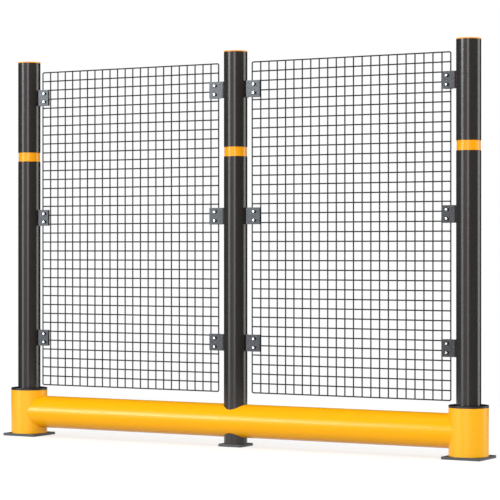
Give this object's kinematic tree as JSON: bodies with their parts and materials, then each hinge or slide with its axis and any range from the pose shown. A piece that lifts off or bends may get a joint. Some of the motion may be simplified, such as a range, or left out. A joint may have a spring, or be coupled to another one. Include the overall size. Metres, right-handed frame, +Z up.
{
  "type": "wire mesh guard partition",
  "caption": "Free-standing guard partition: round dark posts on square base plates carry welded wire mesh panels above a fat round rail close to the floor.",
  "frame": {"origin": "on the floor, at the axis of the middle post", "axes": "+X along the partition, +Z up, -Y towards the side that the bracket plates face"},
  "size_m": [2.909, 0.209, 2.1],
  "materials": {
    "post_plastic": "satin extruded polymer, very dark charcoal",
    "cap_plastic": "satin moulded polymer, orange yellow",
    "band_plastic": "glossy yellow wrap",
    "rail_plastic": "satin amber yellow extruded polymer",
    "collar_rubber": "smooth black",
    "base_steel": "dark grey powder coat",
    "mesh_steel": "dark grey powder coat",
    "bracket_steel": "zinc plated sheet",
    "fastener_steel": "bright zinc plated"
  },
  "bodies": {
    "root": {"base_plate_left": "base_steel", "post_core_left": "base_steel", "post_left": "post_plastic", "post_cap_left": "cap_plastic", "band_left": "band_plastic", "base_plate_middle": "base_steel", "post_core_middle": "base_steel", "post_middle": "post_plastic", "post_cap_middle": "cap_plastic", "band_middle": "band_plastic", "base_plate_right": "base_steel", "post_core_right": "base_steel", "post_right": "post_plastic", "post_cap_right": "cap_plastic", "band_right": "band_plastic", "bracket_left_top": "bracket_steel", "mesh_clamp_left_top": "fastener_steel", "foot_screw_left_top": "fastener_steel", "bracket_left_centre": "bracket_steel", "mesh_clamp_left_centre": "fastener_steel", "foot_screw_left_centre": "fastener_steel", "bracket_left_bottom": "bracket_steel", "mesh_clamp_left_bottom": "fastener_steel", "foot_screw_left_bottom": "fastener_steel", "bracket_middle_left_top": "bracket_steel", "mesh_clamp_middle_left_top": "fastener_steel", "foot_screw_middle_left_top": "fastener_steel", "bracket_middle_left_centre": "bracket_steel", "mesh_clamp_middle_left_centre": "fastener_steel", "foot_screw_middle_left_centre": "fastener_steel", "bracket_middle_left_bottom": "bracket_steel", "mesh_clamp_middle_left_bottom": "fastener_steel", "foot_screw_middle_left_bottom": "fastener_steel", "bracket_middle_right_top": "bracket_steel", "mesh_clamp_middle_right_top": "fastener_steel", "foot_screw_middle_right_top": "fastener_steel", "bracket_middle_right_centre": "bracket_steel", "mesh_clamp_middle_right_centre": "fastener_steel", "foot_screw_middle_right_centre": "fastener_steel", "bracket_middle_right_bottom": "bracket_steel", "mesh_clamp_middle_right_bottom": "fastener_steel", "foot_screw_middle_right_bottom": "fastener_steel", "bracket_right_top": "bracket_steel", "mesh_clamp_right_top": "fastener_steel", "foot_screw_right_top": "fastener_steel", "bracket_right_centre": "bracket_steel", "mesh_clamp_right_centre": "fastener_steel", "foot_screw_right_centre": "fastener_steel", "bracket_right_bottom": "bracket_steel", "mesh_clamp_right_bottom": "fastener_steel", "foot_screw_right_bottom": "fastener_steel", "sleeve_left": "rail_plastic", "collar_left": "collar_rubber", "mesh_panel_left": "mesh_steel", "sleeve_right": "rail_plastic", "collar_right": "collar_rubber", "mesh_panel_right": "mesh_steel", "guard_rail": "rail_plastic"}
  },
  "joints": []
}
